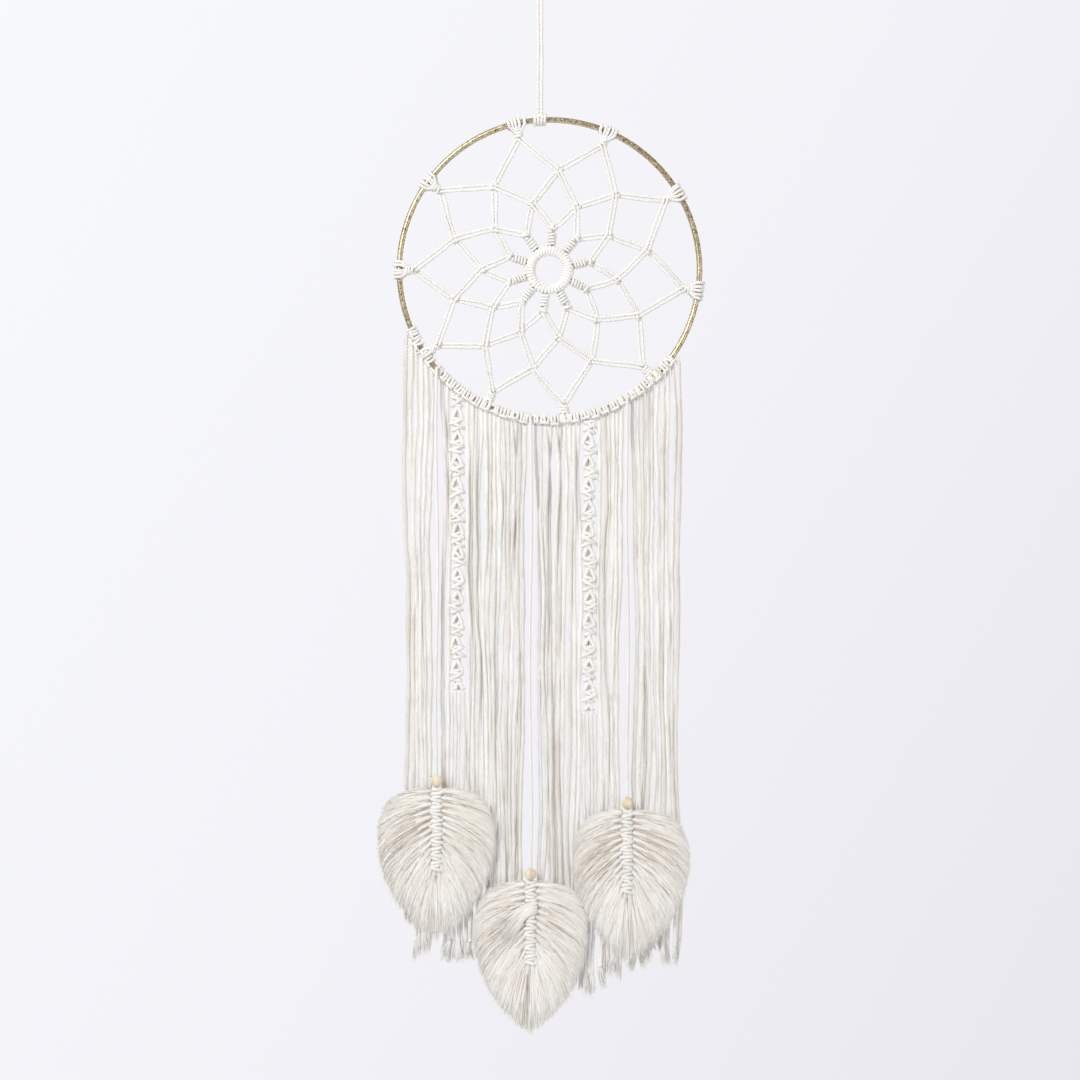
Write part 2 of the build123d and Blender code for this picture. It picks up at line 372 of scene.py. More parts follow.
def noise(tree, scale, detail=4.0, stretch=(1, 1, 1)):
    """Noise in the object's own frame, stretched along an axis."""
    where = tree.nodes.new("ShaderNodeTexCoord")
    mapping = tree.nodes.new("ShaderNodeMapping")
    mapping.inputs["Scale"].default_value = stretch
    texture = tree.nodes.new("ShaderNodeTexNoise")
    texture.inputs["Scale"].default_value = scale
    texture.inputs["Detail"].default_value = detail
    tree.links.new(where.outputs["Object"], mapping.inputs["Vector"])
    tree.links.new(mapping.outputs["Vector"], texture.inputs["Vector"])
    return texture.outputs["Fac"]


def map_range(tree, value, low, high, to_low, to_high):
    """A value from low to high, stretched to go from to_low to to_high."""
    node = tree.nodes.new("ShaderNodeMapRange")
    names = "From Min", "From Max", "To Min", "To Max"
    for name, limit in zip(names, (low, high, to_low, to_high)):
        node.inputs[name].default_value = limit
    tree.links.new(value, node.inputs["Value"])
    return node.outputs["Result"]


def ramp(tree, value, stops):
    """A colour ramp over a value."""
    node = tree.nodes.new("ShaderNodeValToRGB")
    elements = node.color_ramp.elements
    while len(elements) < len(stops):
        elements.new(0.5)
    for element, (at, colour) in zip(elements, stops):
        element.position = at
        element.color = (*colour, 1)
    tree.links.new(value, node.inputs["Fac"])
    return node.outputs["Color"]


def multiply(tree, a, b, share=1.0):
    mix = tree.nodes.new("ShaderNodeMix")
    mix.data_type = "RGBA"
    mix.blend_type = "MULTIPLY"
    mix.inputs["Factor"].default_value = share
    tree.links.new(a, mix.inputs["A"])
    tree.links.new(b, mix.inputs["B"])
    return mix.outputs["Result"]


def bump(tree, shader, height, strength, distance):
    node = tree.nodes.new("ShaderNodeBump")
    node.inputs["Strength"].default_value = strength
    node.inputs["Distance"].default_value = distance
    tree.links.new(height, node.inputs["Height"])
    tree.links.new(node.outputs["Normal"], shader.inputs["Normal"])


def cotton(name, pale, warm, shade, stretch):
    """Undyed cotton: fine fibres, a little uneven in tone from cord to cord, and darker where the
    tone attribute paints shade.
    """
    material, tree, shader = new_material(name, 0.92)
    shader.inputs["Sheen Weight"].default_value = 0.25
    shader.inputs["Sheen Roughness"].default_value = 0.6
    shader.inputs["Specular IOR Level"].default_value = 0.2
    tone = tree.nodes.new("ShaderNodeAttribute")
    tone.attribute_name = "tone"
    # the tone attribute runs from a painted shade colour to pale: low tones paint shade where cords
    # and fibres lie in shadow, the rest is tone that differs from cord to cord
    tone_with_painted_shade = ramp(tree, tone.outputs["Fac"], [(0.0, shade), (0.35, warm), (0.75, pale)])
    blotch = noise(tree, 60, 3)
    soft = ramp(tree, blotch, [(0.3, (0.94, 0.93, 0.91)), (0.7, WHITE)])
    colour = multiply(tree, tone_with_painted_shade, soft)
    fibre = noise(tree, 1800, 5, stretch)
    streak = ramp(tree, fibre, [(0.25, (0.86, 0.85, 0.83)), (0.62, WHITE)])
    tree.links.new(multiply(tree, colour, streak, 0.7), shader.inputs["Base Color"])
    bump(tree, shader, fibre, 0.35, 0.3 * MM)
    return material


def gold():
    """Satin antique gold on wire, speckled dark and light."""
    material, tree, shader = new_material(GOLD, 0.36)
    shader.inputs["Metallic"].default_value = 1.0
    grain = noise(tree, 900, 6)
    dark_speck, plated, bright = (0.22, 0.18, 0.10), (0.62, 0.53, 0.35), (0.80, 0.73, 0.55)
    speckle = ramp(tree, grain, [(0.36, dark_speck), (0.5, plated), (0.7, bright)])
    cloud = ramp(tree, noise(tree, 40, 3), [(0.3, (0.82, 0.80, 0.76)), (0.65, WHITE)])
    tree.links.new(multiply(tree, speckle, cloud), shader.inputs["Base Color"])
    tree.links.new(map_range(tree, grain, 0, 1, 0.28, 0.5), shader.inputs["Roughness"])
    bump(tree, shader, grain, 0.3, 0.2 * MM)
    return material


def wood():
    """Pale turned wood with fine grain."""
    material, tree, shader = new_material(WOOD, 0.45)
    shader.inputs["Coat Weight"].default_value = 0.15
    shader.inputs["Coat Roughness"].default_value = 0.3
    grain = noise(tree, 420, 5, (1, 1, 0.14))
    late, middle, early = (0.54, 0.42, 0.28), (0.72, 0.61, 0.46), (0.82, 0.74, 0.60)
    colour = ramp(tree, grain, [(0.3, late), (0.48, middle), (0.68, early)])
    tree.links.new(colour, shader.inputs["Base Color"])
    bump(tree, shader, grain, 0.2, 0.2 * MM)
    return material


# the cottons' pale, warm and shaded tones, and how their fibres are stretched
COTTONS = {
    CORD_COTTON: ((0.945, 0.945, 0.935), (0.90, 0.885, 0.86), (0.78, 0.735, 0.685), (1, 1, 0.4)),
    LEAF_COTTON: ((0.93, 0.92, 0.90), (0.80, 0.76, 0.71), (0.46, 0.40, 0.35), (1, 1, 1)),
}
MATERIALS = {name: cotton(name, *tones) for name, tones in COTTONS.items()}
MATERIALS |= {GOLD: gold(), WOOD: wood()}


# ---------------- camera, light and floor
LENS = 85.0
SENSOR = 36.0
# the height that the camera sees, and the middle of it below the hoop's centre
VIEW_HEIGHT = 0.7059
VIEW_BELOW_HOOP = 0.1765
FLOOR_BELOW = 0.38
FLOOR_RADIUS = 1.2
FLOOR_SIDES = 96
# each soft light: its place from the middle of the view, size, watts and colour
LIGHTS = {
    "key": ((-0.9, -1.3, 0.95), 0.7, 24.5, (1.0, 0.985, 0.96)),
    "fill": ((1.2, -1.2, -0.1), 1.2, 6.0, (1.0, 0.985, 0.97)),
    "back": ((0.5, 1.5, 0.6), 1.2, 10.0, (1.0, 0.98, 0.95)),
}


def make_world():
    """A pale backdrop that dims to one side, and soft light that is stronger from behind."""
    world = bpy.data.worlds.new("studio")
    bpy.context.scene.world = world
    world.use_nodes = True
    tree = world.node_tree
    nodes, link = tree.nodes, tree.links.new
    seen, felt = nodes["Background"], nodes.new("ShaderNodeBackground")
    where, part = nodes.new("ShaderNodeTexCoord"), nodes.new("ShaderNodeSeparateXYZ")
    link(where.outputs["Generated"], part.inputs["Vector"])
    slope = nodes.new("ShaderNodeMath")
    slope.operation = "MULTIPLY_ADD"
    slope.inputs[1].default_value = -0.6
    link(part.outputs["Z"], slope.inputs[0])
    link(part.outputs["X"], slope.inputs[2])
    share = map_range(tree, slope.outputs["Value"], -0.33, 0.33, 0, 1)
    # painted light: the backdrop seen by the camera is painted paler at the top left and dimmer
    # towards the bottom right, as the light falls off
    pale, middle, dim = (0.938, 0.946, 0.982), (0.892, 0.892, 0.937), (0.800, 0.800, 0.848)
    sky = ramp(tree, share, [(0.0, pale), (0.5, middle), (1.0, dim)])
    link(sky, seen.inputs["Color"])
    felt.inputs["Color"].default_value = (1.0, 0.99, 0.985, 1)
    link(map_range(tree, part.outputs["Y"], -1, 1, 0.37, 0.90), felt.inputs["Strength"])
    kind, mix = nodes.new("ShaderNodeLightPath"), nodes.new("ShaderNodeMixShader")
    link(kind.outputs["Is Camera Ray"], mix.inputs["Fac"])
    link(felt.outputs["Background"], mix.inputs[1])
    link(seen.outputs["Background"], mix.inputs[2])
    link(mix.outputs["Shader"], nodes["World Output"].inputs["Surface"])


def make_stage():
    scene = bpy.context.scene
    scene.view_settings.view_transform = "Standard"
    middle = np.array([0, 0, HOOP[2] - VIEW_BELOW_HOOP])
    camera = bpy.data.objects.new("camera", bpy.data.cameras.new("camera"))
    camera.data.lens = LENS
    camera.data.sensor_width = SENSOR
    camera.location = middle - np.array([0, VIEW_HEIGHT * LENS / SENSOR, 0])
    camera.rotation_euler = (math.pi / 2, 0, 0)
    scene.collection.objects.link(camera)
    scene.camera = camera
    make_world()

    for name, (place, size, power, colour) in LIGHTS.items():
        light = bpy.data.lights.new(name, "AREA")
        light.size = size
        light.energy = power
        light.color = colour
        lamp = bpy.data.objects.new(name, light)
        lamp.location = middle + np.array(place)
        lamp.rotation_euler = (-Vector(place)).to_track_quat("-Z", "Y").to_euler()
        scene.collection.objects.link(lamp)

    floor = Build()
    turn = np.arange(FLOOR_SIDES) * TURN / FLOOR_SIDES
    rim = np.stack([np.cos(turn), np.sin(turn), 0 * turn], 1) * FLOOR_RADIUS
    height = cad_bounds[0].z - FLOOR_BELOW
    k = np.arange(FLOOR_SIDES)
    fan = np.stack([k, (k + 1) % FLOOR_SIDES, np.full(FLOOR_SIDES, FLOOR_SIDES)], 1)
    floor.add(np.concatenate([rim, [[0, 0, 0]]]) + [0, 0, height], tris=fan)
    pale, tree, shader = new_material("pale_floor", 0.8)
    cloud = ramp(tree, noise(tree, 3), [(0.3, (0.80, 0.80, 0.81)), (0.7, (0.84, 0.84, 0.85))])
    tree.links.new(cloud, shader.inputs["Base Color"])
    ground = floor.make("floor", pale)
    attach(ground, "hanging_loop")


make_stage()


# ---------------- knots and wraps
def wrap(
    build, centre, along, radius, lean=0.0, squeeze=(1.0, 1.0),
    cord=STRAND, tone=0.5, start=0.0, square=1.0,
):
    """One turn of cord round something that runs in the direction along.

    It leans along by lean from side to side, and a square under 1 gives it flatter sides.
    """
    along = unit(along)
    across = unit(np.cross(along, (0, 1, 0)))
    depth = np.cross(across, along)
    turn = start + np.arange(28) * TURN / 28
    out, back = (np.sign(f) * np.abs(f) ** square for f in (np.cos(turn), np.sin(turn)))
    path = (
        centre
        + radius * squeeze[0] * out[:, None] * across
        + radius * squeeze[1] * back[:, None] * depth
        + lean * out[:, None] * along
    )
    rope(build, path, cord, closed=True, tone=tone)


def lump(build, centre, size, turn, draw, cord=STRAND):
    """A tight three-crossing knot, about 2 size across."""
    t = np.arange(60) * TURN / 60
    flat = (size - cord) / 3.0
    x = flat * (np.sin(t) + 2 * np.sin(2 * t))
    z = flat * (np.cos(t) - 2 * np.cos(2 * t))
    y = -0.95 * cord * np.sin(3 * t)
    c, s = math.cos(turn), math.sin(turn)
    path = centre + np.stack([x * c - z * s, y, x * s + z * c], 1)
    rope(build, path, cord, closed=True, tone=0.45 + 0.3 * draw.random())


# ---------------- hanger
def make_hanger():
    draw = random_for("hanger")
    knot = joint_at["hanger_swing"]
    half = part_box("hanging_loop")[1].x - STRAND
    build = Build()
    # one side of the loop, from its knot up to its top
    rise = [
        (1.3 * MM, knot[2] + 2.0 * MM), (4.5 * MM, knot[2] + 11.0 * MM),
        (half * 1.06, knot[2] + 24.0 * MM), (half * 0.95, STRAND),
    ]
    points = [(-x, 0, z) for x, z in rise] + [(x, 0, z) for x, z in reversed(rise)]
    line = route(points)
    rope(build, line, tone=0.6)
    loop = build.piece("loop_cord", CORD_COTTON, "hanging_loop", "hanging_loop")

    build = Build()
    lump(build, knot, 4.4 * MM, 0.5, draw)
    wrap(build, knot + np.array([0, 0, -1.0 * MM]), (0.25, 0, 1), 2.7 * MM, 0.6 * MM, tone=0.6)
    build.piece("hanger_overhand_knot", CORD_COTTON, "hanger", "hanger_knot")

    for side, way in SIDES.items():
        low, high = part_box(f"hanger_cord_{side}")
        x = (low.x + high.x) / 2
        points = [(x, 0, high.z + 1.5 * MM)]
        points += [
            (x + way * 0.3 * MM * math.sin(2.4 * i + way), 0, high.z + (low.z - high.z) * i / 5)
            for i in range(1, 5)
        ]
        points += [(x, 0, low.z - 0.5 * MM)]
        line = route(points)
        build = Build()
        rope(build, line, phase=way, tone=0.55 + 0.1 * way)
        piece = build.piece(f"hanger_strand_{side}", CORD_COTTON, "hanger", f"hanger_cord_{side}")

    build = Build()
    hitch = joint_at["hoop_tilt"]
    middle = math.degrees(math.asin((hitch[0] - HOOP[0]) / RING))
    for step in (-1.5, -0.5, 0.5, 1.5):
        angle = middle + math.degrees(step * 2.15 * MM / RING)
        along = ring_axes(angle)[1]
        wrap(build, on_ring(RING, angle), along, WIRE + STRAND + 0.15 * MM, 0.35 * MM)
    for step in (-1, 1):
        foot = hitch + np.array([step * 1.15 * MM, 0, 2.6 * MM])
        rope(build, [foot, foot + np.array([0, 0, 1.9 * MM])], tone=0.6)
    bar = [
        hitch + np.array([x, -(2.9 - 0.05 * x * x), z]) * MM
        for x, z in ((-2.6, 1.0), (-1.2, 2.4), (0, 2.8), (1.2, 2.4), (2.6, 1.0))
    ]
    rope(build, bar, tone=0.7)
    build.piece("hoop_larks_head", CORD_COTTON, "hitch", "hoop_hitch")


make_hanger()


# ---------------- hoop
def make_hoop():
    build = Build()
    add_ring(build, RING, WIRE, 360, 28)
    build.piece("gold_wire_hoop", GOLD, "hoop", "hoop_ring")


make_hoop()


# ---------------- web
def between(angles):
    """The angles half way between neighbours, all the way round."""
    following = angles[1:] + [angles[0] + 360]
    return [(a + b) / 2 for a, b in zip(angles, following)]


def doubled(build, start, end, layer, draw, bow=0.0):
    """Two cords side by side between two knots, each a little slack."""
    along = unit(end - start)
    across = np.array([along[2], 0, -along[0]])
    share = np.linspace(0, 1, 7)[:, None]
    swell = np.sin(math.pi * share)
    for side in (-1, 1):
        gap = side * (1.0 + 0.10 * swell) * STRAND
        slack = bow * swell + draw.normal(0, 0.12 * MM) * np.sin(TURN * share)
        depth = layer * (1 - 0.65 * swell) + draw.normal(0, 0.15 * MM) * swell
        path = start + share * (end - start) + across * (gap + slack) + BACK * depth
        rope(build, path, STRAND * 0.98, tone=0.35 + 0.5 * draw.random(), phase=6 * draw.random())


def make_anchor(build, angle, draw):
    """Loops over the hoop that draw together into a neck, from which the web hangs."""
    outward, tangent = ring_axes(angle)
    neck = on_ring(ANCHOR_ROUND + 2.4 * MM, angle)
    in_fringe = FRINGE_ARC[0] < angle < FRINGE_ARC[1]
    count, wide = (2, 4.2 * MM) if in_fringe else (5, 10.4 * MM)
    grip = WIRE + STRAND + 0.1 * MM
    for i in range(count):
        aside = (i / (count - 1) - 0.5) * wide + draw.normal(0, 0.25 * MM)
        turn = angle + math.degrees(aside / RING)
        over = np.radians(np.linspace(-118, 118, 15))[:, None]
        loop = np.cos(over) * ring_axes(turn)[0] - np.sin(over) * BACK
        slip = draw.normal(0, 0.35 * MM) * np.sin(over) * tangent
        around = on_ring(RING, turn) + grip * loop + slip
        pinch = aside * 0.28
        back_end = neck + tangent * pinch + BACK * 1.3 * MM
        front_end = neck + tangent * (pinch + draw.normal(0, 0.3 * MM)) - BACK * 1.3 * MM
        path = np.concatenate([[back_end], around, [front_end]])
        rope(build, path, STRAND * 1.02, tone=0.35 + 0.6 * draw.random(), phase=6 * draw.random())
    for k in range(3):
        middle = neck + outward * (1.6 - 1.9 * k) * MM
        size, lean = (2.7 - 0.25 * k) * MM, draw.normal(0, 0.5 * MM)
        wrap(build, middle, outward, size, lean, (1.0, 0.85), tone=0.35 + 0.6 * draw.random())
    for way in (-1, 1):
        path = [
            neck + (tangent * way * 1.1 - BACK * 0.8) * MM,
            neck + (tangent * way * 1.5 - outward * 3.2) * MM,
            neck + (tangent * way * 0.9 - outward * 5.2 + BACK * 0.6) * MM,
        ]
        rope(build, path, tone=0.6, phase=way)


SPOKE_PITCH = 2.0 * MM


def make_web():
    draw = random_for("web")
    upper = [on_ring(ANCHOR_ROUND - 1.0 * MM, a) for a in ANCHORS]
    angles = ANCHORS
    for name, radius in ROUNDS.items():
        angles = between(angles)
        knots = [on_ring(radius, a) for a in angles]
        spans, ties = Build(), Build()
        for i, knot in enumerate(knots):
            # one pair of cords comes from either side, and they lie in two layers
            for start, layer in ((upper[i], -0.9 * MM), (upper[(i + 1) % len(upper)], 0.9 * MM)):
                doubled(spans, start, knot, layer, draw, draw.normal(0, 0.25 * MM))
            turn = math.radians(-angles[i]) + draw.normal(0, 0.2)
            lump(ties, knot, 3.7 * MM, turn, draw, STRAND * 0.95)
            if name == "inner":
                wrap(ties, knot, knot - HOOP, 2.3 * MM, 0.5 * MM, tone=0.6)
        spans.piece(f"web_{name}_cords", CORD_COTTON, "hoop", f"web_{name}_spans")
        ties.piece(f"web_{name}_ties", CORD_COTTON, "hoop", f"web_{name}_knots")
        upper = knots

    hitches = Build()
    for angle in ANCHORS:
        make_anchor(hitches, angle, draw)
    hitches.piece("web_hoop_hitches", CORD_COTTON, "hoop", "web_anchor_hitches")

    spokes = Build()
    low_end, high_end = CENTRE + 3.2 * MM, ROUNDS["inner"] - 2.2 * MM
    turns = (high_end - low_end) / SPOKE_PITCH
    t = np.linspace(0, turns * TURN, int(turns * 20))[:, None]
    for angle in angles:
        outward, tangent = ring_axes(angle)
        along = outward * (low_end + t / t[-1] * (high_end - low_end))
        path = HOOP + along + (tangent * 2.15 * np.cos(t) + BACK * 2.0 * np.sin(t)) * MM
        rope(spokes, path, MM, step=0.9 * MM, tone=0.4 + 0.4 * draw.random())
    spokes.piece("web_spoke_coils", CORD_COTTON, "hoop", "web_spoke_wraps")


make_web()


CENTRE_WRAPS = 40


def make_centre_ring():
    draw = random_for("centre")
    build = Build()
    reach = 2.55 * MM
    t = np.arange(24) * TURN / 24
    across = CENTRE + reach * np.cos(t)
    for i in range(CENTRE_WRAPS):
        outward, tangent = ring_axes(i * 360 / CENTRE_WRAPS)
        path = HOOP + across[:, None] * outward + (reach * np.sin(t))[:, None] * BACK
        path = path + (0.35 * MM * np.cos(t + 0.5))[:, None] * tangent
        tone = 0.35 + 0.5 * draw.random()
        # the wraps are thinner towards the middle, where they crowd
        add_tube(build, path, 0.088 * across, PLY_SHAPE, t, tone, True)
        close_twist(build, len(path), len(PLY_SHAPE), 1.0)
    build.piece("centre_ring_cord", CORD_COTTON, "hoop", "centre_ring_wrap")
    core = Build()
    add_ring(core, CENTRE, CENTRE_CORE, 96, 12)
    core.piece("centre_ring_wire", GOLD, "hoop", "centre_ring_core")


make_centre_ring()


# ---------------- fringe
WRAP_PITCH = 2.2 * MM
# a hanging strand begins this far outside the hoop wire's middle line
STRAND_TOP = 2.6 * MM
FRINGE_STRAND = 1.42 * MM
# where the cord leaves the wire bare: angles on the hoop, and how far each goes either way
BARE_WIRE = [(202.8, 0.9), (230.4, 0.6), (239.3, 0.6)]


def make_fringe_hitches():
    """Wraps of the fringe's hitches along the hoop's lower arc, and the bars of the hitches."""
    draw = random_for("hitches")
    build = Build()
    arc = math.radians(FRINGE_ARC[1] - FRINGE_ARC[0]) * RING
    count = int(arc / WRAP_PITCH)
    for i in range(count):
        share = (i + 0.5 + draw.normal(0, 0.13)) / count
        angle = FRINGE_ARC[0] + share * (FRINGE_ARC[1] - FRINGE_ARC[0])
        outward, along = ring_axes(angle)
        reach = WIRE + STRAND * (0.95 + 0.12 * draw.random())
        lean = draw.normal(0, 0.4 * MM)
        tone = 0.15 + 0.8 * draw.random()
        if any(abs(angle - at) < half for at, half in BARE_WIRE):
            continue
        middle = on_ring(RING, angle)
        wrap(build, middle, along, reach, lean, tone=tone, start=draw.random())
        if i % 3 == 1:
            # the bar of a folded cord, across the front of its own two wraps
            down = draw.normal(1.9 * MM, 0.5 * MM)
            bar = [
                middle + along * u * MM + outward * (down + 0.0625 * MM * u * u)
                - BACK * ((4.0 - 0.14 * u * u) * MM - 0.35 * down)
                for u in (-2.6, -1.4, 0, 1.4, 2.6)
            ]
            rope(build, bar, STRAND * 0.95, tone=0.4 + 0.6 * draw.random(), phase=draw.random())
    build.piece("fringe_hitch_wraps", CORD_COTTON, "hoop", "fringe_hitches")


make_fringe_hitches()

# how far the fringe parts round each leaf's cord, in mm
PARTING = dict(zip(LEAVES, (1.2, 2.6, 2.8)))


def sway(x, z, below):
    """How far a cord, below its top, wanders sideways and in depth, alike for near neighbours."""
    u, v = x / MM, z / MM
    side = 0.9 * np.sin(v / 52 + u / 6.1) + 0.55 * np.sin(v / 23 + u / 4.3 + 1.3)
    depth = 0.7 * np.sin(v / 60 + u / 3.1)
    share = ease(np.clip(below / (70 * MM), 0, 1))
    for leaf, reach in PARTING.items():
        away = (x - joint_at[f"leaf_{leaf}_cord_swing"][0]) / MM
        side += math.copysign(reach, away) * math.exp(-((away / 9.0) ** 2)) * share
    return side * MM, depth * MM


def hanging_route(x, top, tip, own, draw):
    """Points of a cord that hangs from top to tip, with a wander of its own."""
    points = []
    count = max(6, int((top - tip) / (22 * MM)))
    for i in range(count + 1):
        z = top + (tip - top) * i / count
        side, depth = sway(x, z, top - z)
        fade = min(1.0, i / 2)
        extra = draw.normal(0, own) if i else 0.0
        points.append((x + fade * side + extra, fade * depth, z))
    return points


def fray(build, start, direction, length, spread, count, draw, tone):
    """Loose fibres where a cord's end has come apart."""
    direction = unit(direction)
    side = unit(np.cross(direction, (0.1, 1, 0.05)))
    depth = np.cross(direction, side)
    share = np.linspace(0, 1, 7)
    turn = draw.random(count) * TURN
    open_out = spread * np.sqrt(draw.random(count))
    root = 0.75 * FRINGE_STRAND * np.sqrt(draw.random(count))
    reach = length * (0.55 + 0.45 * draw.random(count) ** 0.8)
    away = np.cos(turn)[:, None] * side + 0.7 * np.sin(turn)[:, None] * depth
    bend = root[:, None] * (1 - 0.4 * share) + np.outer(open_out, share**1.5)
    bend = bend + np.outer(draw.normal(0, 0.35 * MM, count), np.sin(share * math.pi))
    lean = draw.normal(0, 1.9 * MM) * side + draw.normal(0, 0.8 * MM) * depth
    paths = start + direction * np.outer(reach, share)[..., None]
    paths = paths + away[:, None] * bend[..., None] + lean * (share**1.6)[:, None]
    widths = 0.40 * MM * (1 - 0.85 * share) + 0 * bend
    add_fibres(build, paths, widths, (0.25 + 0.65 * draw.random(count))[:, None] * tone)


FRAY_LENGTH = 14.0 * MM
FRAY_SPREAD = 2.3 * MM
FRAY_FIBRES = 46


def hanging_strand(build, frays, line, apart, roll, draw, radius=FRINGE_STRAND):
    """A strand of a hanging cord, turning about the cord's line, frayed at its end."""
    line = resample(line, 1.0 * MM)
    count = len(line)
    at = np.arange(count)
    # near the hoop the strands stay where their hitch holds them
    free = np.clip(at / 25, 0, 1)
    angle = np.interp(at, np.linspace(0, count, len(roll)), roll) * free
    wander = smooth_noise(draw, count, 0.4 * MM, 8) + smooth_noise(draw, count, 0.18 * MM, 24)
    aside, depth = apart * np.cos(angle) + wander * free, abs(apart) * np.sin(angle)
    path = line + np.stack([aside, depth, 0 * angle], 1)
    body = path[: count - int((FRAY_LENGTH + draw.random() * 6 * MM) / MM)]
    # a random tone for each strand; its darkest tones stand for strands that lie in shade behind
    # the others, as painted shade
    tone = 0.12 + 0.85 * draw.random()
    tones = np.clip(tone + smooth_noise(draw, len(resample(body, 1.0 * MM)), 0.12, 9), 0, 1)
    size = radius * (1.0 + draw.normal(0, 0.07))
    swell = smooth_noise(draw, len(tones), 0.06, 14)
    rope(build, body, size * (1 + swell), tone=tones, phase=6 * draw.random(), shape=LOOSE_SHAPE)
    add_fuzz(build, body, size, 0.5 * MM, len(body) // 2, draw, tone)
    root = body[-1] + np.array([0, 0, 1.5 * MM])
    opened = FRAY_SPREAD * (0.55 + 0.9 * draw.random())
    length = FRAY_LENGTH * (0.9 + 0.35 * draw.random())
    way = body[-1] - body[-5]
    # painted light: the frayed fibres get a paler tone than their cord, to lift the shade that they
    # cast on one another
    fray(frays, root, way, length, opened, FRAY_FIBRES, draw, 1.1 + 0.6 * tone)


def make_fringe():
    for n in range(1, FRINGE_COUNT + 1):
        node = f"fringe_cord_{n:02d}"
        draw = random_for(node)
        low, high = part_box(node)
        middle = (low.x + high.x) / 2
        apart = (high.x - low.x) / 2 - STRAND
        line = route(hanging_route(middle, high.z + 2.5 * MM, low.z, 0.3 * MM, draw))
        line = resample(line, 1.0 * MM)
        build, frays = Build(), Build()
        # the two strands turn about each other, by angles that change slowly down the cord
        roll = np.cumsum(draw.normal(0, 0.5, 7))
        roll = roll - roll.mean()
        for way in (-1, 1):
            x = middle + way * apart - HOOP[0]
            top = HOOP[2] - math.sqrt((RING + STRAND_TOP) ** 2 - x**2)
            whole = line[line[:, 2] <= top]
            hanging_strand(build, frays, whole, way * apart, way * roll, draw)
        piece = build.piece(f"{node}_strands", CORD_COTTON, node, node)
        tips = frays.piece(f"{node}_frayed_tips", CORD_COTTON, node)
        line = line[line[:, 2] > low.z + FRAY_LENGTH]


make_fringe()


# ---------------- sennits
SENNIT_PITCH = 15 * MM
# the four wraps of a sennit's knot: height above its middle, radius (both in mm) and slant
SENNIT_WRAPS = ((3.6, 2.7, 1.2), (1.7, 3.6, -1.5), (-0.4, 3.9, 2.3), (-2.6, 3.1, -1.3))


def make_sennit(side):
    """Knots of two working cords round two fillers, open between them, and loose tails."""
    node = f"sennit_{side}"
    draw = random_for(node)
    low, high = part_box(node)
    tail_low, tail_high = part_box(f"{node}_tails")
    x = (low.x + high.x) / 2
    foot = low.z
    drop = (foot - high.z) / 7
    top = high.z + 1.5 * MM
    line = route([(x + 0.35 * MM * math.sin(1.9 * i), 0, top + drop * i) for i in range(8)])
    centre = resample(line, 1.0 * MM)
    units = int(round((centre[0, 2] - centre[-1, 2]) / SENNIT_PITCH))
    down = np.linspace(-0.35, units - 0.4, len(centre))
    build = Build()
    lean = smooth_noise(draw, len(centre), 0.4 * MM, units)
    below = down - np.floor(down)
    spread = ease(np.where(below < 0.78, below / 0.78, (1 - below) / 0.22))
    narrow = -1.1 + smooth_noise(draw, len(centre), 0.5, 2 * units)
    for way in (-1, 1):
        # under each knot the working cords come out in the middle, and spread round the next
        across = way * MM * (narrow * (1 - spread) + 3.3 * spread) + lean
        depth = -0.9 * MM * np.sin(math.pi * below) * (1.0 + 0.3 * way)
        rope(build, centre + np.stack([across, depth, 0 * down], 1), 1.4 * MM, tone=0.75, phase=way)
        # painted shade: the fillers get a dark tone, as shade inside the knots' open eyes
        filler = way * (1.0 + 0.4 * np.sin(2.3 * down + way)) * MM + lean * 0.5
        path = centre + np.stack([filler, 0.9 * MM + 0 * down, 0 * down], 1)
        rope(build, path, 1.15 * MM, tone=0.25, phase=2 * way)
    for i in range(units):
        at = int((i + 0.38) / (units - 0.05) * (len(centre) - 1))
        middle = centre[at] + np.array([draw.normal(0, 0.3 * MM), 0, 0])
        slant = (1 if i % 2 else -1) * 0.9 * MM
        for up, wide, askew in SENNIT_WRAPS:
            place = middle + np.array([draw.normal(0, 0.4 * MM), 0, up * MM])
            radius = (wide + draw.normal(0, 0.25)) * MM
            tilt = slant * askew + draw.normal(0, 0.5 * MM)
            wrap(
                build, place, (0, 0, 1), radius, tilt, (1.0, 0.55), 1.3 * MM,
                0.3 + 0.65 * draw.random(), draw.random(), 0.9,
            )
    piece = build.piece(f"{node}_knots", CORD_COTTON, node, node)

    points = hanging_route(x, foot, tail_low.z, 0.2 * MM, draw)
    points[0] = (x, 0, foot)
    line = resample(route(points), 1.0 * MM)
    build, frays = Build(), Build()
    spacing = ((tail_high.x - tail_low.x) / 2 - STRAND) / 3
    for k in (-3, -1, 1, 3):
        roll = draw.normal(0, 0.25, 6)
        hanging_strand(build, frays, line, k * spacing, roll, draw, 1.2 * MM)
    piece = build.piece(f"{node}_loose_tails", CORD_COTTON, node, f"{node}_tails")
    tips = frays.piece(f"{node}_frayed_tips", CORD_COTTON, node)
    line = line[line[:, 2] > tail_low.z + FRAY_LENGTH]


for name in SIDES:
    make_sennit(name)


# ---------------- leaves
# one half of a leaf: half widths, as shares of the widest, at heights from its top, as shares
OUTLINE_AT = [0.0, 0.02, 0.055, 0.12, 0.26, 0.42, 0.6, 0.75, 0.88, 0.97, 1.0]
OUTLINE_WIDTH = [0.19, 0.46, 0.72, 0.89, 1.0, 1.0, 0.88, 0.69, 0.41, 0.14, -0.02]
SPINE_SHARE = 0.55
# cords on one side of a leaf, which are combed out into bunches of fibres
CLUMPS = 13


